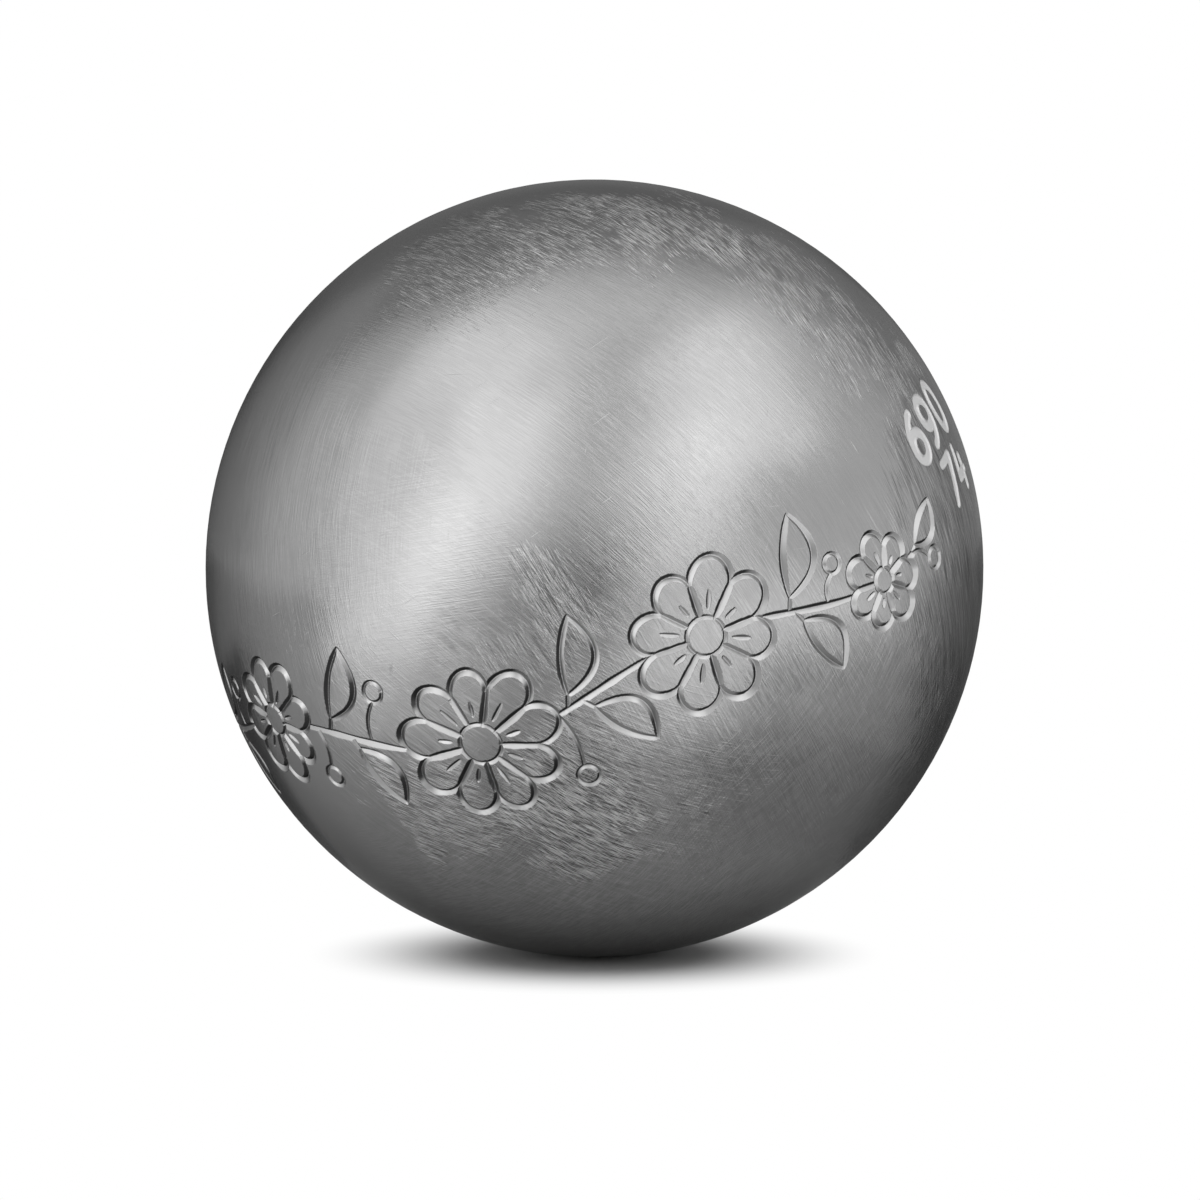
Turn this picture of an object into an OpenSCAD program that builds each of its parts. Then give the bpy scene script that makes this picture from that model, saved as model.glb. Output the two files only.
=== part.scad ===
// Petanque boule: a hollow steel ball made of two forged half shells that are
// butt welded round their rims and turned flush. It holds nothing inside.
// The origin is the ball's centre, and +Z is up as the ball lies.

/* [Ball] */
// Outside diameter of the finished ball
ball_d = 74; // [70.5:0.5:80]
// Wall of the half shells
wall = 6; // [5:0.1:7]

/* [Weld preparation] */
// Bevel of each rim, measured from the plane of the weld
bevel_angle = 30; // [20:1:40]
// Height of the square land left at the inner edge of each rim
root_face = 1.5; // [1:0.1:2.5]
// Gap between the two lands when the shells are clamped for welding
root_gap = 1.2; // [0.6:0.1:2]

/* [Weld root] */
// Width of the bead that the weld leaves on the inner wall
root_bead_w = 4; // [3:0.1:6]
// Height of that bead above the inner wall
root_bead_h = 0.8; // [0.4:0.1:1.5]

/* [How the ball lies] */
// Angle between the weld's axis and upright
weld_lean = 23; // [0:1:90]
// Compass direction in which the weld's axis leans, from +X towards +Y
lean_heading = 214; // [0:1:359]

/* [Hidden] */

$fn = 128;
ball_r = ball_d / 2;
cavity_r = ball_r - wall;
// Radius at which the square land ends and the bevel starts
land_r = cavity_r + root_face;
// How far the cutting outlines run past the ball's surface
overrun = 1;
outline_r = ball_r + overrun;
half_gap = root_gap / 2;
// Half the width of the groove where an outline leaves the ball
half_mouth = half_gap + (outline_r - land_r) * tan(bevel_angle);
// Radius of the arc that has the root bead's width as chord and its height as rise
root_bead_r = (root_bead_h * root_bead_h + root_bead_w * root_bead_w / 4) / (2 * root_bead_h);
root_bead_centre = cavity_r - root_bead_h + root_bead_r;

// Turns a piece from the weld's own axis to the way the ball lies
module as_it_lies() {
    rotate([0, weld_lean, lean_heading])
        children();
}

// Everything on the upper shell's side of the weld groove
module above_groove() {
    polygon([
        [0, half_gap],
        [land_r, half_gap],
        [outline_r, half_mouth],
        [outline_r, outline_r],
        [0, outline_r],
    ]);
}

// The groove itself, taken inwards as far as the middle of the root bead
module groove_section() {
    groove_foot = cavity_r - root_bead_h / 2;
    polygon([
        [groove_foot, -half_gap],
        [land_r, -half_gap],
        [outline_r, -half_mouth],
        [outline_r, half_mouth],
        [land_r, half_gap],
        [groove_foot, half_gap],
    ]);
}

// One forged shell: a hemisphere with an even wall, and a rim that is square
// at the inner edge and bevelled from there to the outside
module half_shell() {
    rotate_extrude()
        difference() {
            intersection() {
                circle(r = ball_r);
                above_groove();
            }
            circle(r = cavity_r);
        }
}

module upper_half_shell() {
    color("#8f8f8f")
        as_it_lies()
            half_shell();
}

module lower_half_shell() {
    color("#8f8f8f")
        as_it_lies()
            mirror([0, 0, 1])
                half_shell();
}

// The weld: it fills the groove between both bevels, is turned flush with the
// ball, and stands a little proud of the inner wall as a rounded root bead
module weld_bead() {
    color("#979797")
        as_it_lies()
            rotate_extrude() {
                intersection() {
                    circle(r = ball_r);
                    groove_section();
                }
                intersection() {
                    circle(r = cavity_r);
                    translate([root_bead_centre, 0])
                        circle(r = root_bead_r);
                }
            }
}

upper_half_shell();
lower_half_shell();
weld_bead();
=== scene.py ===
# %% [markdown]
# # A petanque boule in brushed and engraved steel
# Petanque is played with hollow steel balls. Two forged half shells are welded
# into one, the ball is turned, engraved and brushed by hand, and it keeps a
# satin, slightly patchy grey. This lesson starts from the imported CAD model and
# gives that ball its real surface: cuts as geometry, brushing as a material.

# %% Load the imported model
import bpy
import numpy as np
from mathutils import Matrix, Vector


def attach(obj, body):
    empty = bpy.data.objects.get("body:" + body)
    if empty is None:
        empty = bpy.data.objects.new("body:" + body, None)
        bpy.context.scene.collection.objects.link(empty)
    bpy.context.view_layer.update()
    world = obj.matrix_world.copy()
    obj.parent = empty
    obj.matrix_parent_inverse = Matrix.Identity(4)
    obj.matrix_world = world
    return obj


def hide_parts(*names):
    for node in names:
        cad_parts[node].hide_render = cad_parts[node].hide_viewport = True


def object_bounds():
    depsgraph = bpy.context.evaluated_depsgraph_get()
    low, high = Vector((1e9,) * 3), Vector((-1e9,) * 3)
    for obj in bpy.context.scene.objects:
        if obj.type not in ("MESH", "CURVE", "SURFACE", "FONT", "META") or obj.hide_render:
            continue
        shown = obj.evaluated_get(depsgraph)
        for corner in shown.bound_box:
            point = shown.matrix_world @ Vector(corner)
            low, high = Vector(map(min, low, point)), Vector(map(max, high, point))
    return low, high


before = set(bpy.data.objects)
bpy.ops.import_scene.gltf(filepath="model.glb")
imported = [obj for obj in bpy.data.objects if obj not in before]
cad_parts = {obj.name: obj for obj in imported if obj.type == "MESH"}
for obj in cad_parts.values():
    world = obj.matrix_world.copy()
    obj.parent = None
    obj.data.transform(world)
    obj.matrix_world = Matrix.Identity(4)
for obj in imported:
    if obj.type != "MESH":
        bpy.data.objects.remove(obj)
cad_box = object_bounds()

# %% [markdown]
# ## Measuring the ball
# Nothing here repeats a size that the CAD model already holds. The ball's
# radius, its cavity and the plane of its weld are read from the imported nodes.
# The weld's ring spreads least along its own axis, so a singular value
# decomposition of its points finds that axis whichever way the ball lies.

# %% Read the sizes from the CAD nodes
MM = 0.001
# how near a point is to count as on the skin or the bore, or as inside the wall
ON_SKIN, ON_BORE, IN_WALL = 0.1 * MM, 0.02 * MM, 0.5 * MM


def node_points(name):
    """A CAD node's vertices as an array with one row for each point."""
    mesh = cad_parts[name].data
    flat = np.empty(3 * len(mesh.vertices))
    mesh.vertices.foreach_get("co", flat)
    return flat.reshape(-1, 3)


weld = node_points("weld_bead")
shell = node_points("upper_half_shell")
ball_r = min(abs(x) for corner in cad_box for x in corner)

band_axis = np.linalg.svd(weld, full_matrices=False)[2][-1]
band_axis = band_axis * np.sign(band_axis[2])

weld_height = np.abs(weld @ band_axis)
weld_radius = np.linalg.norm(weld - np.outer(weld @ band_axis, band_axis), axis=1)
from_centre = np.linalg.norm(weld, axis=1)
cavity_r = np.linalg.norm(shell, axis=1).min()
mouth_half = weld_height[from_centre > ball_r - ON_SKIN].max()
in_wall = (from_centre > cavity_r + IN_WALL) & (from_centre < ball_r - IN_WALL)
half_gap = weld_height[in_wall].min()
land_r = weld_radius[in_wall].min()
bead_half = weld_height[np.abs(from_centre - cavity_r) < ON_BORE].max()
bead_r = weld_radius.min()

lean = np.degrees(np.arccos(band_axis[2]))
print(f"ball {2 * ball_r / MM:.2f} mm, cavity {2 * cavity_r / MM:.2f} mm,"
      f" weld leans {lean:.2f} degrees")
print(f"weld mouth {2 * mouth_half / MM:.2f} mm, gap {2 * half_gap / MM:.2f} mm,"
      f" land to {land_r / MM:.2f} mm, bead {2 * bead_half / MM:.2f} mm wide,"
      f" {(cavity_r - bead_r) / MM:.2f} mm high")

# %% [markdown]
# ## The band's own map
# The engraving runs round the ball along the weld's great circle. It is drawn
# on a flat map of that band: u runs along the band and v across it, both in
# millimetres, with u = 0 where the band faces the camera. A place on the map
# is an angle round the weld's axis (longitude) and one above its plane
# (latitude), because an arc of a circle is its radius times its angle.

# %% Directions of the band
view_from = np.array([0.0, -1.0, 0.0])
band_front = view_from - (view_from @ band_axis) * band_axis
band_front = band_front / np.linalg.norm(band_front)
band_right = np.cross(band_axis, band_front)
R_MM = ball_r / MM


def on_ball(lam, phi, radius):
    """Points at longitude lam and latitude phi, as radius times the direction
    cos(phi) * (cos(lam) * front + sin(lam) * right) + sin(phi) * axis."""
    lam, phi, radius = np.broadcast_arrays(lam, phi, radius)
    flat = np.cos(lam)[..., None] * band_front + np.sin(lam)[..., None] * band_right
    turned = np.cos(phi)[..., None] * flat + np.sin(phi)[..., None] * band_axis
    return radius[..., None] * turned


print("band faces", np.round(band_front, 3), "and runs towards", np.round(band_right, 3))

# %% [markdown]
# ## Drawing with a cutter
# An engraver's V-shaped cutter makes a groove that is deep where it is wide.
# Each stroke is therefore a path and a width along it, thin where the cutter
# enters and leaves. A hand's pressure is never quite even, so the width also
# wanders by a few percent. Outlines, stems and figures are lists of strokes.

# %% Strokes
strokes = []
STEP_MM = 0.12
# how often a hand's pressure changes along a stroke, and by how much
PRESSURE_MM, PRESSURE_SHARE = 1.5, 0.14
HAND_SEED = 7
hand = np.random.default_rng(HAND_SEED)


def along(u, v):
    """Distance travelled along a path at each of its points."""
    return np.concatenate([[0.0], np.cumsum(np.hypot(np.diff(u), np.diff(v)))])


def cut(u, v, width, ends=0.45):
    """Adds one stroke. Its width is the given one times the hand's pressure
    times ends + (1 - ends) * sin(pi * s) ** 0.5, with s the share travelled."""
    u, v = np.asarray(u, float), np.asarray(v, float)
    far = along(u, v)
    s = np.linspace(0.0, 1.0, max(3, int(far[-1] / STEP_MM)))
    swell = ends + (1 - ends) * np.sqrt(np.abs(np.sin(np.pi * s)))
    presses = 1.0 + PRESSURE_SHARE * hand.uniform(-1, 1, 2 + int(far[-1] / PRESSURE_MM))
    pressure = np.interp(s, np.linspace(0.0, 1.0, len(presses)), presses)
    u, v = np.interp(s * far[-1], far, u), np.interp(s * far[-1], far, v)
    strokes.append((u, v, width * swell * pressure))


def bow(start, end, bulge, n=40):
    """A path from start to end that bows sideways by bulge, as a parabola."""
    t = np.linspace(0.0, 1.0, n)
    (u0, v0), (u1, v1) = start, end
    length = np.hypot(u1 - u0, v1 - v0)
    side = 4 * bulge * t * (1 - t) / length
    return u0 + (u1 - u0) * t - (v1 - v0) * side, v0 + (v1 - v0) * t + (u1 - u0) * side


# %% [markdown]
# ## The garland
# A plain garland of daisies, leaves and berries is a traditional border. One
# wavy stem carries it, and every flower or leaf is placed by its distance
# along that stem. A flower hides the stem behind it, so the stem's points
# inside a flower are left out before it is cut.

# %% Sizes of the garland, in millimetres
STEM_W, OUTLINE_W, VEIN_W = 0.78, 0.80, 0.5
STEM_WAVE, STEM_PERIOD, STEM_SHIFT = 2.0, 43.0, 4.0
STEM_START, STEM_END = -57.0, 33.0

# along the stem, above it, radius, petals, turn in degrees
FLOWERS = [
    (-39.0, 0.2, 6.0, 8, 10), (-14.5, 0.4, 7.6, 9, 5),
    (8.5, -0.4, 7.0, 8, 20), (28.0, 0.0, 4.6, 7, 40),
]
# along the stem, angle in degrees, length, width, bend
LEAVES = [
    (-54.0, 64, 6.8, 3.2, -0.8), (-51.0, -62, 6.0, 3.0, 0.7), (-30.5, 66, 7.4, 3.2, -0.9),
    (-28.0, -66, 6.6, 3.0, 0.8), (-5.5, 72, 7.4, 3.2, -0.9), (-4.0, -48, 6.6, 3.2, 0.9),
    (16.8, 66, 7.6, 3.3, -0.9), (17.4, -66, 6.8, 3.0, 0.8), (32.4, 30, 5.2, 2.6, -0.6),
]
# along the stem, angle in degrees, length of stalk, radius
BERRIES = [
    (-47.4, 86, 3.0, 1.0), (-25.6, 70, 4.2, 1.0), (-32.2, -92, 4.0, 1.0),
    (-6.6, -84, 5.6, 1.0), (21.0, 62, 2.8, 0.9), (32.6, -28, 3.0, 1.0),
]
LEAF_STALK, BERRY_BOW = 1.3, 0.5
# how far in the notches between petals lie, the power that rounds the petals,
# and how wide the disc is: notches and disc are shares of the flower's radius
PETAL_NOTCH, PETAL_ROUND, DISC = 0.70, 0.65, 0.26
# where the short line in a petal starts and ends, in disc radii, and how much
# further it runs in every other petal
VEIN_FROM, VEIN_TO, VEIN_MORE = 1.35, 2.1, 0.3
# how much the petals of one flower differ, in waves of two and three a turn
TWO_WAVE, THREE_WAVE = 0.05, 0.03


def stem(u):
    """Height of the stem above the band's middle: a sine wave."""
    return STEM_WAVE * np.sin(2 * np.pi * (u + STEM_SHIFT) / STEM_PERIOD)


def petal_edge(angle, radius, petals, turn):
    """Distance of a flower's outline from its middle: PETAL_NOTCH of the radius
    between petals and the whole radius at their tips, with a power of the
    cosine as the rounding between. Every petal is a little different."""
    turned = angle - turn
    lobe = np.abs(np.cos(petals * turned / 2)) ** PETAL_ROUND
    uneven = 1.0 + TWO_WAVE * np.sin(2 * turned + radius) + THREE_WAVE * np.sin(3 * turned)
    return radius * uneven * (PETAL_NOTCH + (1 - PETAL_NOTCH) * lobe)


print(f"{len(FLOWERS)} flowers, {len(LEAVES)} leaves and {len(BERRIES)} berries")

# %% Cut the garland
for u0, above, radius, petals, turn in FLOWERS:
    v0, turn = stem(u0) + above, np.radians(turn)
    disc = DISC * radius
    for k in range(petals):
        middle = turn + 2 * np.pi * k / petals
        edge = np.linspace(middle - np.pi / petals, middle + np.pi / petals, 60)
        reach = petal_edge(edge, radius, petals, turn)
        cut(u0 + reach * np.cos(edge), v0 + reach * np.sin(edge), OUTLINE_W, ends=0.75)
        r = np.linspace(disc, reach[-1], 20)
        cut(u0 + r * np.cos(edge[-1]), v0 + r * np.sin(edge[-1]), OUTLINE_W, ends=0.7)
        r = np.linspace(VEIN_FROM, VEIN_TO + VEIN_MORE * (k % 2), 20) * disc
        cut(u0 + r * np.cos(middle), v0 + r * np.sin(middle), VEIN_W, ends=0.2)
    round_disc = np.linspace(0, 2 * np.pi, 80)
    cut(u0 + disc * np.cos(round_disc), v0 + disc * np.sin(round_disc), VEIN_W, ends=1.0)

for u0, angle, length, width, bend in LEAVES:
    a, v0 = np.radians(angle), stem(u0)
    base = (u0 + LEAF_STALK * np.cos(a), v0 + LEAF_STALK * np.sin(a))
    tip = (base[0] + length * np.cos(a), base[1] + length * np.sin(a))
    cut(*bow((u0, v0), base, 0.0), VEIN_W, ends=0.9)
    cut(*bow(base, tip, bend + width / 2), OUTLINE_W)
    cut(*bow(base, tip, bend - width / 2), OUTLINE_W)

for u0, angle, stalk, radius in BERRIES:
    a, v0 = np.radians(angle), stem(u0)
    end = (u0 + stalk * np.cos(a), v0 + stalk * np.sin(a))
    cut(*bow((u0, v0), end, BERRY_BOW), VEIN_W, ends=0.8)
    turn = np.linspace(0, 2 * np.pi, 80)
    middle = (end[0] + radius * np.cos(a), end[1] + radius * np.sin(a))
    cut(middle[0] + radius * np.cos(turn), middle[1] + radius * np.sin(turn), VEIN_W, ends=1.0)

u = np.linspace(STEM_START, STEM_END, 3000)
v = stem(u)
hidden = np.zeros(len(u), bool)
for u0, above, radius, petals, turn in FLOWERS:
    v0 = stem(u0) + above
    inside = petal_edge(np.arctan2(v - v0, u - u0), radius, petals, np.radians(turn))
    hidden |= np.hypot(u - u0, v - v0) < inside
edges = np.flatnonzero(np.diff(hidden.astype(int)))
for run in np.split(np.arange(len(u)), edges + 1):
    if not hidden[run[0]]:
        cut(u[run], v[run], STEM_W, ends=0.6)
print(len(strokes), "strokes,", round(sum(along(u, v)[-1] for u, v, w in strokes)), "mm in all")

# %% [markdown]
# ## Plain figures
# A boule carries its weight in grams and its diameter in millimetres, because
# players choose by both. The figures are drawn with single strokes, as an
# engraving machine draws them: straight runs and arcs in a box one unit high.
# They are milled flat instead of cut to a V, so their strokes are kept apart.

# %% Cut the figures
FIGURE_W = 1.15
# from one figure to the next, and the space left of each, as shares of its height
FIGURE_PITCH, FIGURE_INSET = 0.92, 0.16
garland_count = len(strokes)


def arc(mid_u, mid_v, rad_u, rad_v, start, end, n=60):
    """An arc of an ellipse between two angles in degrees."""
    t = np.radians(np.linspace(start, end, n))
    return mid_u + rad_u * np.cos(t), mid_v + rad_v * np.sin(t)


# each figure is a list of paths in a box 0.6 wide and 1 high
FIGURES = {
    "0": [arc(0.3, 0.5, 0.3, 0.5, 90, 450)],
    "4": [([0.46, 0.46], [0.0, 0.66]), ([0.16, 0.0, 0.64], [1.0, 0.34, 0.34])],
    "6": [arc(0.3, 0.3, 0.29, 0.3, 0, 360), arc(0.62, 0.3, 0.61, 0.7, 103, 180)],
    "7": [([0.0, 0.6, 0.2], [1.0, 1.0, 0.0])],
    "9": [arc(0.3, 0.7, 0.29, 0.3, 0, 360), arc(-0.02, 0.7, 0.61, 0.7, -77, 0)],
}


def cut_figures(text, u0, v0, height):
    """Cuts the figures in a row that is centred on a place."""
    pitch, inset = FIGURE_PITCH * height, FIGURE_INSET * height
    for i, figure in enumerate(text):
        left = u0 + (i - len(text) / 2) * pitch + inset
        for path_u, path_v in FIGURES[figure]:
            path_u = left + height * np.asarray(path_u)
            path_v = v0 + height * (np.asarray(path_v) - 0.5)
            cut(path_u, path_v, FIGURE_W, ends=0.9)


cut_figures("690", u0=45.4, v0=6.6, height=4.6)
cut_figures("74", u0=46.8, v0=0.5, height=4.3)
garland_strokes, figure_strokes = strokes[:garland_count], strokes[garland_count:]
print(len(garland_strokes), "strokes for the garland,", len(figure_strokes), "for the figures")

# %% [markdown]
# ## From strokes to depth
# The skin is a fine grid over the engraved part of the band. A V cutter that
# stands upright leaves a groove (half width - distance) times its slope deep.
# This one is held at a slant, as a hand holds it, so the groove has a narrow
# steep flank above and to the left, and a broad gentle one opposite. The broad
# flank catches the light and the steep one stays dark, with painted shade added
# on it, which makes a line read.

# %% The grid over the band
GRID_MM = 0.07
# degrees on each side of the front that the fine columns cover, and the
# number of columns for the plain back
FINE_HALF, COARSE_COLUMNS = 88.0, 92
TOP_MM, BOTTOM_MM = 9.9, -9.4

mouth = np.arcsin(mouth_half / ball_r)
fine = np.radians(FINE_HALF)
fine_columns = np.linspace(-fine, fine, int(2 * fine * R_MM / GRID_MM))
coarse_columns = np.linspace(fine, 2 * np.pi - fine, COARSE_COLUMNS)[1:-1]
columns = np.concatenate([fine_columns, coarse_columns])


def rows_between(low, high):
    """Latitudes from low to high, about one grid step apart."""
    return np.linspace(low, high, 1 + int(round((high - low) * R_MM / GRID_MM)))


lower_rows = rows_between(BOTTOM_MM / R_MM, -mouth)
weld_rows = rows_between(-mouth, mouth)
upper_rows = rows_between(mouth, TOP_MM / R_MM)
rows = np.concatenate([lower_rows[:-1], weld_rows, upper_rows[1:]])
print("grid", len(rows), "x", len(columns))

# %% Reach of the cutter on the grid
CUTTER_SLOPE = 0.88
HAND_SLANT, UPRIGHT = (-0.10, 0.15), (0.0, 0.0)
TIP_MM, LIP_MM = 0.03, 0.02
# how many legs of a stroke are cut at a time
RUN = 14

grid_u, grid_v = columns * R_MM, rows * R_MM


def cutter_reach(u, v, path_u, path_v, width, slant):
    """How far the cutter reaches at points u, v of the map, and its slope there.
    On each leg of the path the deepest cut lies a little off the nearest point,
    because of the slant. Reach = half width - distance - slant * offset, and
    the leg that reaches most wins."""
    leg_u, leg_v = np.diff(path_u), np.diff(path_v)
    length = np.hypot(leg_u, leg_v)
    leg_u, leg_v = leg_u / length, leg_v / length
    du, dv = u[..., None] - path_u[:-1], v[..., None] - path_v[:-1]
    beside = np.abs(du * leg_v - dv * leg_u)
    pull = slant[0] * leg_u + slant[1] * leg_v
    s = np.clip(du * leg_u + dv * leg_v + pull * beside / np.sqrt(1 - pull ** 2), 0.0, length)
    du, dv = du - s * leg_u, dv - s * leg_v
    half_width = (width[:-1] + np.diff(width) * s / length) / 2
    away = np.sqrt(du ** 2 + dv ** 2 + TIP_MM ** 2)
    reach = half_width - away - slant[0] * du - slant[1] * dv
    best = reach.argmax(axis=-1)[..., None]
    du, dv, away, reach = (
        np.take_along_axis(x, best, axis=-1)[..., 0] for x in (du, dv, away, reach))
    return reach, -du / away - slant[0], -dv / away - slant[1]


def carve(paths, slant):
    """The soft reach of all those strokes over the grid in mm, and its slopes.
    The square root rounds the sharp lip of a cut over LIP_MM."""
    reach = np.full((len(rows), len(columns)), -1.0)
    lean_u, lean_v = np.zeros_like(reach), np.zeros_like(reach)
    for path_u, path_v, width in paths:
        for first in range(0, len(path_u) - 1, RUN):
            run = slice(first, first + RUN + 1)
            su, sv, sw = path_u[run], path_v[run], width[run]
            pad = sw.max()
            r = slice(*np.searchsorted(grid_v, [sv.min() - pad, sv.max() + pad]))
            c = slice(*np.searchsorted(grid_u, [su.min() - pad, su.max() + pad]))
            points = np.meshgrid(grid_u[c], grid_v[r])
            found, found_u, found_v = cutter_reach(*points, su, sv, sw, slant)
            deeper = found > reach[r, c]
            reach[r, c] = np.where(deeper, found, reach[r, c])
            lean_u[r, c] = np.where(deeper, found_u, lean_u[r, c])
            lean_v[r, c] = np.where(deeper, found_v, lean_v[r, c])
    root = np.sqrt(reach ** 2 + LIP_MM ** 2)
    soft = np.maximum((reach + root - LIP_MM) / 2, 0.0)
    rise = np.where(soft > 0, (1 + reach / root) / 2, 0.0)
    return soft, rise * lean_u, rise * lean_v


# %% Depth, points and normals of the engraved skin
FIGURE_FLOOR_MM = 0.16
MARK_EDGE_MM = 0.04
# how steep a flank is where its painted shade starts, and over how much
# more it gets full
FLANK_SHADE_FROM, FLANK_SHADE_OVER = 0.35, 0.30

soft, lean_u, lean_v = carve(garland_strokes, HAND_SLANT)
flat, flat_u, flat_v = carve(figure_strokes, UPRIGHT)
milled = flat * CUTTER_SLOPE > FIGURE_FLOOR_MM
flat, flat_u, flat_v = (np.where(milled, level, x) for level, x in (
    (FIGURE_FLOOR_MM / CUTTER_SLOPE, flat), (0.0, flat_u), (0.0, flat_v)))

depth = CUTTER_SLOPE * (soft + flat) * MM
cut_mask = np.clip(depth / (MARK_EDGE_MM * MM), 0.0, 1.0)
frost = np.clip(flat / MARK_EDGE_MM, 0.0, 1.0)
# painted shade darkens the steep flank, which leans most against the slant
steep = -(lean_u * HAND_SLANT[0] + lean_v * HAND_SLANT[1]) / np.hypot(*HAND_SLANT)
painted_flank_shade = np.clip((steep - FLANK_SHADE_FROM) / FLANK_SHADE_OVER, 0.0, 1.0)
print(f"deepest cut {depth.max() / MM:.2f} mm, {100 * (depth > 0).mean():.0f}% of the grid is cut")

skin = on_ball(columns, rows[:, None], ball_r - depth)
outward = on_ball(columns, rows[:, None], 1.0)
east = on_ball(columns + np.pi / 2, np.zeros((len(rows), 1)), 1.0)
north = np.cross(outward, east)
# a skin of radius r - depth leans outwards by the slope of its depth
slope_u, slope_v = CUTTER_SLOPE * (lean_u + flat_u), CUTTER_SLOPE * (lean_v + flat_v)
skin_normals = outward + slope_u[..., None] * east + slope_v[..., None] * north
skin_normals /= np.linalg.norm(skin_normals, axis=2, keepdims=True)
steepest = np.degrees(np.arccos((skin_normals * outward).sum(axis=2).min()))
print(f"steepest flank {steepest:.0f} degrees")

# %% Points that the mesh keeps
# plain steel needs only every PLAIN_EVERY-th column, and a cut needs all of them
PLAIN_EVERY = 10
near_cut = np.pad(depth > 0, 1)
near_cut = near_cut[:-2] | near_cut[1:-1] | near_cut[2:]
near_cut = near_cut[:, :-2] | near_cut[:, 1:-1] | near_cut[:, 2:]
kept = near_cut | (np.arange(len(columns)) % PLAIN_EVERY == 0) | (np.abs(columns) > fine - 1e-9)
print(f"{100 * kept.mean():.0f}% of the grid's points are kept")

# %% [markdown]
# ## Closing the pieces
# Each piece is a stack of rings round the weld's axis, from pole to rim and
# back along the cavity. Rings may have different numbers of points, so the
# fine engraved rows can pass into coarse plain ones with no gap. Corner
# normals come with the rings: they are exact on the ball, they match on both
# sides of the weld, and a corner such as the rim keeps a sharp edge.

# %% Join rings into a closed piece
def zip_rings(lam_a, lam_b):
    """Triangles between two rings with sorted angles. The walk goes round both
    at once: each step moves to whichever ring's next point comes first, and
    closes a triangle with the point where the other ring stands."""
    n_a, n_b = len(lam_a), len(lam_b)
    in_b = np.concatenate([np.zeros(n_a, int), np.ones(n_b, int)])
    step_b = in_b[np.argsort(np.concatenate([lam_a, lam_b]), kind="stable")]
    at_a = (np.cumsum(1 - step_b) - (1 - step_b) - 1) % n_a
    at_b = (np.cumsum(step_b) - step_b - 1) % n_b
    onward = np.where(step_b == 1, n_a + (at_b + 1) % n_b, (at_a + 1) % n_a)
    triangles = np.stack([at_a, n_a + at_b, onward], axis=1)
    real = np.where(step_b == 1, n_b > 1, n_a > 1)
    return triangles[real.astype(bool)]


# the marks: where a cut is, the painted shade on steep flanks, and the milled frost
MARKS = ("cut", "painted_flank_shade", "frost")


def make_piece(name, rings, closed):
    """A mesh from rings. A ring is its angles, its points, its normals towards
    the ring before and towards the ring after, and a column for each mark."""
    starts = np.concatenate([[0], np.cumsum([len(ring[0]) for ring in rings])])
    points = np.concatenate([ring[1] for ring in rings])
    marks = np.concatenate([ring[4] for ring in rings])
    pairs = list(zip(range(len(rings)), range(1, len(rings))))
    if closed:
        pairs.append((len(rings) - 1, 0))
    triangles, normals = [], []
    for a, b in pairs:
        local = zip_rings(rings[a][0], rings[b][0])
        numbers = np.concatenate([np.arange(starts[ring], starts[ring + 1]) for ring in (a, b)])
        triangles.append(numbers[local])
        normals.append(np.concatenate([rings[a][3], rings[b][2]])[local])
    triangles, normals = np.concatenate(triangles), np.concatenate(normals)

    mesh = bpy.data.meshes.new(name)
    mesh.vertices.add(len(points))
    mesh.vertices.foreach_set("co", points.ravel())
    mesh.loops.add(triangles.size)
    mesh.loops.foreach_set("vertex_index", triangles.ravel())
    mesh.polygons.add(len(triangles))
    mesh.polygons.foreach_set("loop_start", np.arange(0, triangles.size, 3))
    mesh.polygons.foreach_set("loop_total", np.full(len(triangles), 3))
    mesh.update(calc_edges=True)
    for mark, values in zip(MARKS, marks.T):
        attribute = mesh.attributes.new(mark, "FLOAT", "POINT")
        attribute.data.foreach_set("value", np.ascontiguousarray(values))
    mesh.normals_split_custom_set(normals.reshape(-1, 3))
    piece = bpy.data.objects.new(name, mesh)
    bpy.context.scene.collection.objects.link(piece)
    print(f"{name}: {len(points)} points, {len(triangles)} triangles")
    return piece


# %% Rings of each kind
PLAIN_COLUMNS = 192
PLAIN_STEP = np.radians(2.5)
CAVITY_RINGS, BEAD_RINGS = 34, 15
plain_lam = columns[0] + np.linspace(0, 2 * np.pi, PLAIN_COLUMNS, endpoint=False)


def skin_ring(row, rim_normal=None):
    """A row of the engraved skin. At a rim the normals towards the weld's
    groove are given apart."""
    keep = kept[row]
    n = skin_normals[row][keep]
    after = n if rim_normal is None else rim_normal[keep]
    marks = np.stack([mark[row][keep] for mark in (cut_mask, painted_flank_shade, frost)], axis=1)
    return [columns[keep], skin[row][keep], n, after, marks]


def plain_ring(phi, radius, inward=False):
    """A ring on a sphere of that radius, or its pole when phi is a right angle."""
    lam = plain_lam if abs(phi) < np.pi / 2 - 1e-6 else plain_lam[:1]
    n = on_ball(lam, phi, -1.0 if inward else 1.0)
    return [lam, on_ball(lam, phi, radius), n, n, np.zeros((len(lam), len(MARKS)))]


def turned_ring(radius, height, before, after):
    """A ring at a distance from the weld's axis and a height above its plane.
    Each normal is given as its parts away from the axis and along it."""
    out = on_ball(plain_lam, 0.0, 1.0)
    points = radius * out + height * band_axis
    normals = [a * out + b * band_axis for a, b in (before, after)]
    return [plain_lam, points, *normals, np.zeros((PLAIN_COLUMNS, len(MARKS)))]


bevel = np.arctan2(mouth_half - half_gap, np.sqrt(ball_r ** 2 - mouth_half ** 2) - land_r)
print(f"bevel {np.degrees(bevel):.1f} degrees")

# %% The upper shell, the lower shell and the weld
def bevel_normals(side):
    """The weld groove's normals on the shells: into the groove, square to the bevel."""
    return -np.sin(bevel), -side * np.cos(bevel)


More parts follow.
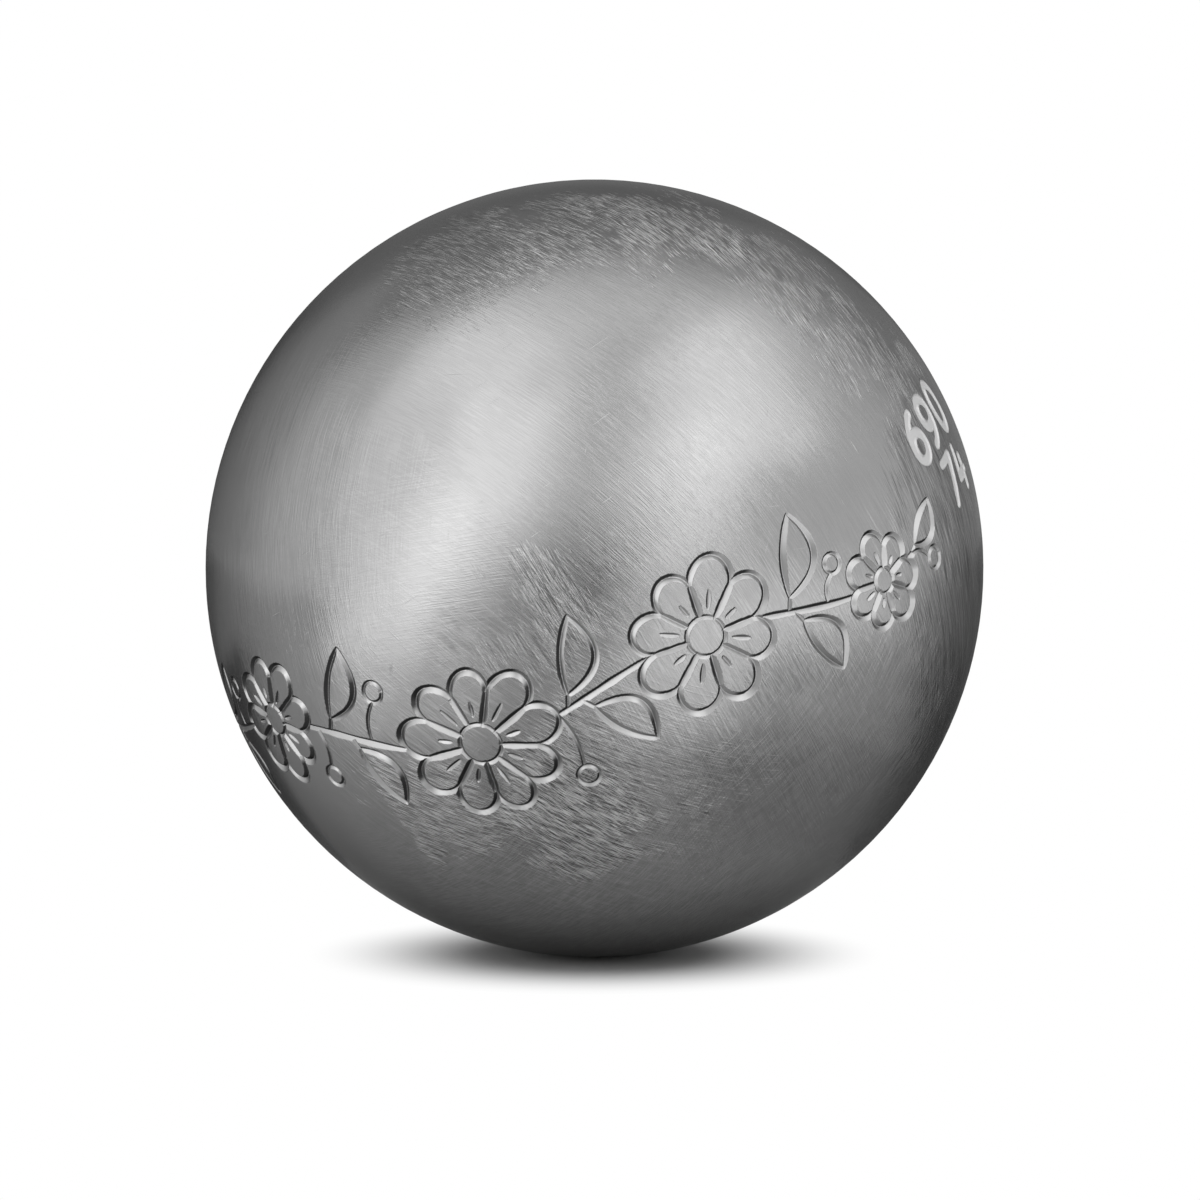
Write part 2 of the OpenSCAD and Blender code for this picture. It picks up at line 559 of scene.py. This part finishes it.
def half_shell_rings(side, engraved_rows, last_fine):
    """Rings of one half shell from its outer pole down to the rim and up along
    the cavity to the inner pole. side is 1 above the weld and -1 below it."""
    out_phi = np.arange(np.pi / 2, abs(last_fine), -PLAIN_STEP)
    rings = [plain_ring(side * phi, ball_r) for phi in out_phi]
    out_part, axis_part = bevel_normals(side)
    facing = out_part * on_ball(columns, 0.0, 1.0) + axis_part * band_axis
    rings += [skin_ring(row) for row in engraved_rows[:-1]]
    rings.append(skin_ring(engraved_rows[-1], rim_normal=facing))
    rings.append(turned_ring(land_r, side * half_gap, (out_part, axis_part), (0.0, -side)))
    in_rim = np.arcsin(half_gap / cavity_r)
    rim_r = np.sqrt(cavity_r ** 2 - half_gap ** 2)
    rim = turned_ring(rim_r, side * half_gap, (0.0, -side), (0.0, 0.0))
    rim[3] = -on_ball(plain_lam, side * in_rim, 1.0)
    rings.append(rim)
    in_phi = np.linspace(in_rim, np.pi / 2, CAVITY_RINGS)[1:]
    rings += [plain_ring(side * phi, cavity_r, inward=True) for phi in in_phi]
    if side < 0:
        # the mirrored shell is walked the other way, so that its triangles face out
        rings = [
            [lam, points, after, before, marks]
            for lam, points, before, after, marks in rings[::-1]]
    return rings


def weld_rings():
    """Rings round the weld's section: across the skin from top to bottom, in
    along the lower bevel and land, over the root bead, and back up."""
    top = len(lower_rows) - 1 + len(weld_rows) - 1
    bottom = len(lower_rows) - 1
    rings = [skin_ring(row) for row in range(top, bottom - 1, -1)]
    for ring, side in ((rings[0], 1), (rings[-1], -1)):
        out_part, axis_part = bevel_normals(side)
        facing = -out_part * on_ball(columns, 0.0, 1.0) - axis_part * band_axis
        ring[2 if side > 0 else 3] = facing[kept[top if side > 0 else bottom]]
    # the bead's arc has the radius (rise^2 + half width^2) / (2 * rise)
    bead_arc_r = ((cavity_r - bead_r) ** 2 + bead_half ** 2) / (2 * (cavity_r - bead_r))
    low = (np.sin(bevel), -np.cos(bevel))
    rings.append(turned_ring(land_r, -half_gap, low, (0.0, -1.0)))
    rings.append(turned_ring(cavity_r, -half_gap, (0.0, -1.0), (1.0, 0.0)))
    rings.append(turned_ring(cavity_r, -bead_half, (1.0, 0.0), (-1.0, 0.0)))
    for height in np.linspace(-bead_half, bead_half, BEAD_RINGS)[1:-1]:
        inward = np.sqrt(bead_arc_r ** 2 - height ** 2)
        normal = (-inward / bead_arc_r, height / bead_arc_r)
        rings.append(turned_ring(bead_r + bead_arc_r - inward, height, normal, normal))
    rings.append(turned_ring(cavity_r, bead_half, (-1.0, 0.0), (1.0, 0.0)))
    rings.append(turned_ring(cavity_r, half_gap, (1.0, 0.0), (0.0, 1.0)))
    rings.append(turned_ring(land_r, half_gap, (0.0, 1.0), (np.sin(bevel), np.cos(bevel))))
    return rings


upper_band = range(len(rows) - 1, len(rows) - len(upper_rows) - 1, -1)
lower_band = range(0, len(lower_rows))
upper_rings = half_shell_rings(1, upper_band, rows[-1])
lower_rings = half_shell_rings(-1, lower_band, rows[0])
pieces = {
    "upper_half_shell": make_piece("upper_half_shell_skin", upper_rings, closed=False),
    "lower_half_shell": make_piece("lower_half_shell_skin", lower_rings, closed=False),
    "weld_bead": make_piece("weld_bead_skin", weld_rings(), closed=True),
}

# %% [markdown]
# ## Brushed steel
# The turned ball is rubbed by hand with abrasive cloth. Each rub leaves fine
# parallel scratches that curve with the ball, and neighbouring patches run in
# different directions. A scratch is too small to model, so the material draws
# it: a noise stretched to the size of a scratch, once for each patch, raises
# and lowers the surface under the light, and the same noise paints glints and
# shade into the colour. The grooves were cut after that, so few scratches run
# into them. Their walls are a little paler and rougher, painted shade darkens
# their steep side, and the milled figures look frosted.

# %% Node and colour helpers
def linear(hex_colour):
    """An sRGB hex colour as linear RGBA. Each channel c becomes c / 12.92 below
    0.04045 and ((c + 0.055) / 1.055) ** 2.4 above it."""
    c = np.array([int(hex_colour[i:i + 2], 16) for i in (1, 3, 5)]) / 255
    return (*np.where(c <= 0.04045, c / 12.92, ((c + 0.055) / 1.055) ** 2.4), 1.0)


def empty_material(name):
    """A material of that name and its node tree, which has no node yet."""
    material = bpy.data.materials.new(name)
    material.use_nodes = True
    material.node_tree.nodes.clear()
    return material, material.node_tree


def add(tree, kind, inputs=None, out=0, **settings):
    """Adds a node, sets its properties and fills its inputs. An input given as
    a socket is linked, and any other is set. Returns one of its outputs."""
    node = tree.nodes.new(kind)
    for key, value in settings.items():
        setattr(node, key, value)
    for key, value in (inputs or {}).items():
        if isinstance(value, bpy.types.NodeSocket):
            tree.links.new(value, node.inputs[key])
        else:
            node.inputs[key].default_value = value
    return node.outputs[out] if node.outputs else None


print(f"mid grey #808080 reflects {linear('#808080')[0]:.3f} of the light")


def toward(azimuth, elevation):
    """A direction from the ball's middle: azimuth 0 is towards the camera's
    side and grows to the right, elevation is above the level, in degrees."""
    a, e = np.radians([azimuth, elevation])
    return np.array([np.sin(a) * np.cos(e), -np.cos(a) * np.cos(e), np.sin(e)])


# %% Where and how the ball was rubbed
VIEW_ELEVATION = 5.0
back, right = toward(0, VIEW_ELEVATION), np.array([1.0, 0.0, 0.0])
up = np.cross(back, right)


def across(azimuth, elevation, tilt):
    """The axis round which scratches run through a place, so that from the
    camera's side they show that tilt in degrees from the level. A scratch is
    the part of the surface seen along cos(tilt) * right + sin(tilt) * up, and
    the axis is square to it and to the surface."""
    n, t = toward(azimuth, elevation), np.radians(tilt)
    shown = np.cos(t) * right + np.sin(t) * up
    scratch = shown - back * (shown @ n) / (back @ n)
    return np.cross(n, scratch / np.linalg.norm(scratch))


# a patch of strokes: its middle and half width in degrees, its axis, the width,
# length and height of a scratch in mm, and how much painted glint and painted
# shade it lays into the colour.
# Most real scratches are finer than a pixel, so these are about a pixel wide.
# Light rubbing all over the ball:
RUBBED = [
    (toward(-10, 34), 40, across(-10, 38, -32), 0.09, 2.8, 0.006, 0.03, 0.03),
    (toward(40, 30), 38, across(38, 30, -48), 0.09, 2.8, 0.006, 0.03, 0.03),
    (toward(2, 6), 20, across(2, 6, -42), 0.09, 3.0, 0.006, 0.03, 0.03),
    (toward(-27, 2), 17, across(-27, 0, 8), 0.09, 2.6, 0.005, 0.03, 0.03),
    (toward(-64, 14), 26, across(-60, 14, 80), 0.11, 4.5, 0.005, 0.04, 0.06),
    (toward(-48, -8), 18, across(-48, -8, -76), 0.10, 3.5, 0.005, 0.03, 0.05),
    (toward(-40, 12), 14, across(-40, 12, 84), 0.10, 3.0, 0.004, 0.02, 0.03),
    (toward(24, -20), 26, across(24, -20, -60), 0.10, 3.0, 0.012, 0.08, 0.08),
    (toward(-10, -30), 30, across(-10, -30, -26), 0.10, 2.6, 0.014, 0.10, 0.12),
    (toward(0, -58), 34, across(0, -55, 35), 0.11, 2.0, 0.014, 0.10, 0.15),
    (toward(50, -34), 28, across(50, -30, 50), 0.11, 2.6, 0.012, 0.08, 0.12),
    (toward(74, 2), 26, across(70, 2, -78), 0.12, 5.0, 0.010, 0.16, 0.14),
    (toward(66, 14), 15, across(66, 14, -72), 0.10, 4.0, 0.006, 0.05, 0.70),
    (toward(180, 10), 80, toward(10, 80), 0.11, 3.5, 0.010, 0.06, 0.08),
]
# hard strokes that leave separate scratches, with strong painted glints:
STRUCK = [
    (toward(-36, 55), 15, across(-36, 55, -27), 0.09, 1.8, 0.030, 0.28, 0.30),
    (toward(-5, 64), 14, across(-5, 64, -26), 0.09, 1.8, 0.030, 0.30, 0.30),
    (toward(24, 66), 13, across(24, 66, -36), 0.09, 1.8, 0.030, 0.55, 0.25),
    (toward(46, 52), 14, across(46, 52, -48), 0.10, 2.0, 0.030, 0.30, 0.30),
    (toward(58, 34), 14, across(58, 34, -60), 0.10, 2.2, 0.025, 0.25, 0.30),
    (toward(-6, -3), 10, across(-6, -3, -57), 0.07, 1.8, 0.020, 0.15, 0.50),
    (toward(0, -29), 16, across(0, -29, -22), 0.06, 1.8, 0.030, 0.35, 0.95),
    (toward(-3, -34), 11, across(-3, -34, -33), 0.06, 1.6, 0.030, 0.55, 0.70),
    (toward(-26, -32), 12, across(-26, -32, -20), 0.06, 1.6, 0.030, 0.45, 0.60),
    (toward(150, -30), 26, across(150, -30, 35), 0.06, 2.2, 0.030, 0.40, 0.40),
    (toward(-140, 40), 26, across(-140, 40, -30), 0.06, 2.2, 0.030, 0.40, 0.40),
]
# single scratches from play:
STRAY = [
    (toward(-20, 10), 60, across(0, 0, 33), 0.09, 4.0, 0.010, 0.35, 0.0),
    (toward(30, -10), 60, across(0, 0, -58), 0.09, 3.0, 0.010, 0.35, 0.0),
]


def lay_along(axis):
    """Euler angles that lay the local X axis along a direction."""
    return Vector(axis).to_track_quat("X", "Z").to_euler()


print(f"{len(RUBBED)} rubbed patches, {len(STRUCK)} struck ones, {len(STRAY)} of stray scratches")

# %% The scratches of every patch
# a scratch wanders by up to BEND_MM over WANDER_MM
WANDER_MM, BEND_MM = 7.0, 0.2
# a patch is full up to CORE half widths from its middle and gone at REACH of
# them. It lifts the noise by up to LIFT, and its edge is ragged.
CORE, REACH, LIFT, RAGGED = 0.4, 1.4, 0.36, 0.12
# lifted noise between these levels makes a faint scratch and a full one
LEVELS = ((RUBBED, 0.72, 1.00), (STRUCK, 0.87, 1.01), (STRAY, 1.11, 1.19))


def scratches(tree, place, mottle):
    """The scratches' height, and the painted glint and painted shade in their colour.
    Each patch has a noise of its own, stretched along its scratches. A scratch
    is where noise + nearness to the patch's middle passes the faint level."""
    # hands do not rub in straight lines, so every scratch wanders a little
    wander = add(tree, "ShaderNodeTexNoise", {
        "Vector": place, "Scale": 1 / (WANDER_MM * MM), "Detail": 1.0}, out="Color")
    wander = add(tree, "ShaderNodeVectorMath", {
        0: wander, 1: (0.5, 0.5, 0.5)}, operation="SUBTRACT")
    wander = add(tree, "ShaderNodeVectorMath", {
        0: wander, "Scale": BEND_MM * MM}, operation="SCALE")
    bent = add(tree, "ShaderNodeVectorMath", {0: place, 1: wander}, operation="ADD")
    ragged = add(tree, "ShaderNodeMath", {
        0: mottle, 1: RAGGED, 2: -RAGGED / 2}, operation="MULTIPLY_ADD")
    height, bright, dark = 0.0, 0.0, 0.0
    for patches, faint, full in LEVELS:
        for middle, half_width, axis, width, length, raised, glint_paint, shade in patches:
            near = add(tree, "ShaderNodeVectorMath", {
                0: place, 1: tuple(middle / ball_r)}, out="Value", operation="DOT_PRODUCT")
            near = add(tree, "ShaderNodeMath", {0: near, 1: ragged}, operation="ADD")
            near = add(tree, "ShaderNodeMapRange", {
                "Value": near, "From Min": np.cos(np.radians(REACH * half_width)),
                "From Max": np.cos(np.radians(CORE * half_width)), "To Max": LIFT},
                interpolation_type="SMOOTHSTEP")
            laid = add(tree, "ShaderNodeMapping", {
                "Vector": bent, "Rotation": lay_along(axis),
                "Scale": (width * MM, length * MM, length * MM)}, vector_type="TEXTURE")
            noise = add(tree, "ShaderNodeTexNoise", {
                "Vector": laid, "Scale": 1.0, "Detail": 1.0})
            line = add(tree, "ShaderNodeMath", {0: noise, 1: near}, operation="ADD")
            line = add(tree, "ShaderNodeMapRange", {
                "Value": line, "From Min": faint, "From Max": full},
                interpolation_type="SMOOTHSTEP")
            height = add(tree, "ShaderNodeMath", {
                0: line, 1: raised * MM, 2: height}, operation="MULTIPLY_ADD")
            bright = add(tree, "ShaderNodeMath", {
                0: line, 1: glint_paint, 2: bright}, operation="MULTIPLY_ADD")
            if shade:
                # the painted shade of dark streaks lies where the same noise is lowest
                hollow = add(tree, "ShaderNodeMath", {0: near, 1: noise}, operation="SUBTRACT")
                hollow = add(tree, "ShaderNodeMapRange", {
                    "Value": hollow, "From Min": faint - 1.0, "From Max": full - 1.0},
                    interpolation_type="SMOOTHSTEP")
                dark = add(tree, "ShaderNodeMath", {
                    0: hollow, 1: shade, 2: dark}, operation="MULTIPLY_ADD")
    bright, dark = (
        add(tree, "ShaderNodeMath", {0: amount, 1: 1.0}, operation="MINIMUM")
        for amount in (bright, dark))
    return height, bright, dark


# %% The brushed steel
MOTTLE_MM = 6.0
# how much of the scratches' height is gone in a groove
GROOVE_CALM = 0.85
# roughness of the plain steel, and how much the mottling adds to it
SATIN, SATIN_MOTTLE = 0.185, 0.05


def brushed_steel():
    """Turned and hand-brushed carbon steel: metallic, satin, neutral grey. The
    scratches spread the light across themselves, so bright reflections have
    frayed edges there and stay even where the surroundings are even."""
    steel, tree = empty_material("brushed steel")
    place = add(tree, "ShaderNodeTexCoord", out="Object")
    groove, painted_flank_shade, frost = (
        add(tree, "ShaderNodeAttribute", out="Fac", attribute_name=mark) for mark in MARKS)
    mottle = add(tree, "ShaderNodeTexNoise", {
        "Vector": place, "Scale": 1 / (MOTTLE_MM * MM), "Detail": 4.0})
    height, bright, dark = scratches(tree, place, mottle)
    left = add(tree, "ShaderNodeMath", {
        0: groove, 1: -GROOVE_CALM, 2: 1.0}, operation="MULTIPLY_ADD")
    height = add(tree, "ShaderNodeMath", {0: height, 1: left}, operation="MULTIPLY")
    bump = add(tree, "ShaderNodeBump", {"Height": height, "Distance": 1.0})

    colour = add(tree, "ShaderNodeMix", {
        0: mottle, 6: linear("#949494"), 7: linear("#9E9E9E")}, out=2, data_type="RGBA")
    # over the mottled grey: painted streak shade and glints, paler groove walls, painted flank
    # shade, frost
    for amount, tone in (
            (dark, "#505050"), (bright, "#E0E0E0"), (groove, "#A8A8A8"),
            (painted_flank_shade, "#404040"), (frost, "#CCCCCC")):
        colour = add(tree, "ShaderNodeMix", {
            0: amount, 6: colour, 7: linear(tone)}, out=2, data_type="RGBA")
    roughness = add(tree, "ShaderNodeMath", {
        0: mottle, 1: SATIN_MOTTLE, 2: SATIN}, operation="MULTIPLY_ADD")
    for amount, rougher in ((bright, 0.26), (groove, 0.10), (frost, 0.35)):
        roughness = add(tree, "ShaderNodeMath", {
            0: amount, 1: rougher, 2: roughness}, operation="MULTIPLY_ADD")

    shader = add(tree, "ShaderNodeBsdfPrincipled", {
        "Base Color": colour, "Metallic": 1.0, "Roughness": roughness, "Normal": bump,
        "Specular Tint": linear("#B0B0B0")})
    add(tree, "ShaderNodeOutputMaterial", {"Surface": shader})
    print(f"{steel.name}: {len(tree.nodes)} nodes")
    return steel


steel = brushed_steel()
for node_name, piece in pieces.items():
    piece.data.materials.append(steel)
    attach(piece, "root")
    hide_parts(node_name)

# %% [markdown]
# ## The studio
# The ball lies on a pale floor among soft boxes: three on its left, two on its
# right and one above. Metal shows its surroundings more than itself, so cards
# stand where the camera, the back wall and the table's parts would be. No lamp
# lights a card: each glows with its own shade. Cloths and panels glow grey, the
# boards glow like a table top under a lamp, and two cloths next to the ball are
# painted shade that glows as dark as the floor in its shadow. Only reflections
# see them.

# %% Camera
LENS_MM, SENSOR_MM, PICTURE = 200.0, 36.0, 1200
BALL_PIXELS = 389.0
BALL_AT = (594.5, 568.5)

pixels_per_unit = PICTURE * LENS_MM / SENSOR_MM
distance = ball_r / np.sin(np.arctan(BALL_PIXELS / pixels_per_unit))
aside, above = PICTURE / 2 - BALL_AT[0], PICTURE / 2 - BALL_AT[1]
aim = (aside * right - above * up) * distance / pixels_per_unit
camera_data = bpy.data.cameras.new("camera")
camera_data.lens, camera_data.sensor_width = LENS_MM, SENSOR_MM
camera_data.clip_start, camera_data.clip_end = 0.01, 20.0
camera = bpy.data.objects.new("camera", camera_data)
pose = np.eye(4)
pose[:3] = np.column_stack([right, up, back, aim + back * distance])
camera.matrix_world = Matrix(pose.tolist())
bpy.context.scene.collection.objects.link(camera)
bpy.context.scene.camera = camera
print(f"camera {distance:.3f} m away, aimed at {np.round(aim / MM, 2)} mm")

# %% Soft boxes
def soft_box(name, azimuth, elevation, far, width, height, radiance):
    """An area lamp that faces the ball. A lamp of P watts and area A glows with
    P / (pi * A), so its power follows from how bright it should look."""
    data = bpy.data.lights.new(name, "AREA")
    data.shape, data.size, data.size_y = "RECTANGLE", width, height
    data.energy = radiance * np.pi * width * height
    lamp = bpy.data.objects.new(name, data)
    spot = Vector(toward(azimuth, elevation)) * far
    facing = spot.to_track_quat("Z", "Y").to_matrix().to_4x4()
    lamp.matrix_world = Matrix.Translation(spot) @ facing
    lamp.visible_camera = False
    bpy.context.scene.collection.objects.link(lamp)
    print(f"{name}: {data.energy:.2f} W")


# name, azimuth, elevation, distance, width, height, radiance where 1 is white
SOFT_BOXES = [
    ("tall left soft box", -53, 25, 0.60, 0.65, 1.40, 0.53),
    ("left soft box", -29, 33, 0.60, 0.37, 0.41, 0.62),
    ("low left strip", -45, 5, 0.30, 0.11, 0.17, 0.80),
    ("high right soft box", 58, 48, 0.60, 0.44, 0.43, 0.91),
    ("right soft box", 27, 24, 0.60, 0.29, 0.45, 0.95),
    ("top soft box", 23, 88, 0.60, 1.20, 0.33, 0.31),
]
for box in SOFT_BOXES:
    soft_box(*box)

# %% The floor
def flat_card(name, corners, material):
    """A card with those four corners and that material."""
    mesh = bpy.data.meshes.new(name)
    mesh.from_pydata([tuple(c) for c in corners], [], [(0, 1, 2, 3)])
    mesh.materials.append(material)
    card = bpy.data.objects.new(name, mesh)
    bpy.context.scene.collection.objects.link(card)


# how far from the contact point the camera's view of the floor turns plain, and
# how far out the reflections' view does
SHADOW_NEAR, SHADOW_FAR = 10 * MM, 28 * MM
FADE_NEAR, FADE_FAR = 300 * MM, 500 * MM
HALF_FLOOR = 1.5
RAYS = ("Is Camera Ray", "Is Glossy Ray", "Is Transmission Ray")


def pale_floor():
    """White table top, lit like anything else. Under the ball the camera sees
    its soft shadow, which gives way to the plain white backdrop. Reflections
    see the lit table further out, before it gives way too."""
    floor, tree = empty_material("white table top")
    looked, glossy, through = (add(tree, "ShaderNodeLightPath", out=ray) for ray in RAYS)
    place = add(tree, "ShaderNodeTexCoord", out="Object")
    contact = add(tree, "ShaderNodeVectorMath", {0: place, 1: (0, 0, ball_r)}, operation="ADD")
    far = add(tree, "ShaderNodeVectorMath", {0: contact}, out="Value", operation="LENGTH")
    near_fade, far_fade = (
        add(tree, "ShaderNodeMapRange", {"Value": far, "From Min": start, "From Max": end},
            interpolation_type="SMOOTHSTEP")
        for start, end in ((SHADOW_NEAR, SHADOW_FAR), (FADE_NEAR, FADE_FAR)))
    mirrored = add(tree, "ShaderNodeMath", {0: glossy, 1: through}, operation="MAXIMUM")
    to_camera, to_metal = (
        add(tree, "ShaderNodeMath", {0: fade, 1: ray}, operation="MULTIPLY")
        for fade, ray in ((near_fade, looked), (far_fade, mirrored)))
    share = add(tree, "ShaderNodeMath", {0: to_camera, 1: to_metal}, operation="ADD")
    lit = add(tree, "ShaderNodeBsdfDiffuse", {"Color": linear("#E0E0E0")})
    backdrop = add(tree, "ShaderNodeEmission", {"Color": linear("#FFFFFF"), "Strength": 1.0})
    mixed = add(tree, "ShaderNodeMixShader", {0: share, 1: lit, 2: backdrop})
    add(tree, "ShaderNodeOutputMaterial", {"Surface": mixed})
    return floor


SQUARE = ((-1, -1), (1, -1), (1, 1), (-1, 1))
flat_card("floor", [(x * HALF_FLOOR, y * HALF_FLOOR, -ball_r) for x, y in SQUARE], pale_floor())
print(f"floor {ball_r / MM:.2f} mm below the ball's middle")

# %% Cards that only reflections see
SOFT_CELLS = 3
AROUND, OUTWARD, WALL_GRID = 19, 9, 5
# cloths that overlap lie one above the other
LOW, MIDDLE, HIGH = 0.2 * MM, 0.4 * MM, 0.6 * MM


def glowing_card(name, grid, shade, soft_edge=False):
    """A curved card over a grid of points that glows with its shade, lit by no
    lamp, and is seen only in reflections. A soft edge thins out over the grid's
    outermost SOFT_CELLS cells."""
    material, tree = empty_material(name)
    whole = add(tree, "ShaderNodeAttribute", out="Fac", attribute_name="whole")
    clear = add(tree, "ShaderNodeBsdfTransparent")
    glow = add(tree, "ShaderNodeEmission", {"Color": (shade, shade, shade, 1.0), "Strength": 1.0})
    mixed = add(tree, "ShaderNodeMixShader", {0: whole, 1: clear, 2: glow})
    add(tree, "ShaderNodeOutputMaterial", {"Surface": mixed})
    n_rows, n_columns = grid.shape[:2]
    row, column = np.indices((n_rows, n_columns))
    first = (row * n_columns + column)[:-1, :-1].ravel()
    quads = np.stack([first, first + 1, first + n_columns + 1, first + n_columns], axis=1)
    mesh = bpy.data.meshes.new(name)
    mesh.from_pydata(grid.reshape(-1, 3).tolist(), [], quads.tolist())
    to_edge = np.minimum.reduce([row, n_rows - 1 - row, column, n_columns - 1 - column])
    share = np.clip(to_edge / SOFT_CELLS, 0.0, 1.0) if soft_edge else np.ones(row.shape)
    mesh.attributes.new("whole", "FLOAT", "POINT").data.foreach_set("value", share.ravel())
    mesh.materials.append(material)
    card = bpy.data.objects.new(name, mesh)
    bpy.context.scene.collection.objects.link(card)
    for ray in ("camera", "diffuse", "shadow", "transmission"):
        setattr(card, "visible_" + ray, False)
    print(f"{name}: {grid.shape[0]} x {grid.shape[1]} points, shade {shade}")


def dome(azimuths, elevations, far):
    """Points of a dome at a distance, between two azimuths and two elevations."""
    az, el = np.radians(np.meshgrid(
        np.linspace(*azimuths, AROUND), np.linspace(*elevations, OUTWARD)))
    return far * np.stack([np.sin(az) * np.cos(el), -np.cos(az) * np.cos(el), np.sin(el)], axis=2)


def wall(sides, top, far):
    """Points of an upright wall behind the ball, between its sides."""
    x, z = np.meshgrid(np.linspace(*sides, WALL_GRID), np.linspace(-ball_r, top, WALL_GRID))
    return np.stack([x, np.full(x.shape, far), z], axis=2)


def ground(azimuths, near, far, lift=LOW):
    """Points just above the floor between two azimuths and two distances."""
    az, d = np.meshgrid(
        np.radians(np.linspace(*azimuths, AROUND)), np.geomspace(near, far, OUTWARD))
    return np.stack([d * np.sin(az), -d * np.cos(az), np.full(az.shape, lift - ball_r)], axis=2)


# azimuths and elevations in degrees, distances in metres, shades where 1 is white
glowing_card("back wall", wall((-1.44, 0.92), 3.06, 0.70), 0.46)
glowing_card("left panel", wall((-1.44, -0.45), 0.80, 0.69), 0.62)
glowing_card("right panel", wall((0.18, 0.92), 0.80, 0.69), 0.64)
glowing_card("black strip", dome((153, 216), (-19, 28), 0.16), 0.09, soft_edge=True)
glowing_card("camera card", dome((-20, 7), (-4, 8), 0.8), 0.12)
glowing_card("dark cloth", ground((100, 246), 0.034, 0.69), 0.19)
glowing_card("black cloth", ground((122, 244), 0.038, 0.18, lift=MIDDLE), 0.10, soft_edge=True)
glowing_card("far left cloth", ground((214, 246), 0.161, 0.69, lift=HIGH), 0.48)
glowing_card("far right cloth", ground((110, 146), 0.161, 0.69, lift=HIGH), 0.34)
# painted shade: these two glow as dark as the floor in the ball's shadow looks in reflections
glowing_card("near front cloth", ground((-28, 2), 0.030, 0.055), 0.36)
glowing_card("near card", ground((20, 99), 0.030, 0.0595), 0.36)
glowing_card("near right board", ground((5, 36), 0.060, 0.149), 1.45)
glowing_card("near left board", ground((-70, -25), 0.060, 0.109), 1.08)
glowing_card("front cloth", ground((-14, 9), 0.15, 0.50), 0.50)
glowing_card("left board", ground((-76, -44), 0.11, 0.90), 1.85)
glowing_card("right board", ground((14, 76), 0.15, 0.90), 1.80)
glowing_card("far right board", ground((76, 99), 0.15, 0.90), 1.3)

# %% The room round the studio
ROOM_LIGHT = 0.5

world = bpy.data.worlds.new("studio")
bpy.context.scene.world = world
world.use_nodes = True
tree = world.node_tree
tree.nodes.clear()
looked, glossy, through = (add(tree, "ShaderNodeLightPath", out=ray) for ray in RAYS)
mirrored = add(tree, "ShaderNodeMath", {0: glossy, 1: through}, operation="MAXIMUM")
seen = add(tree, "ShaderNodeMath", {0: looked, 1: mirrored}, operation="MAXIMUM")
strength = add(tree, "ShaderNodeMath", {
    0: seen, 1: 1.0 - ROOM_LIGHT, 2: ROOM_LIGHT}, operation="MULTIPLY_ADD")
sky = add(tree, "ShaderNodeBackground", {"Color": linear("#FFFFFF"), "Strength": strength})
add(tree, "ShaderNodeOutputWorld", {"Surface": sky})
bpy.context.scene.view_settings.view_transform = "Standard"
print(f"the room looks white and lights with a strength of {ROOM_LIGHT}")
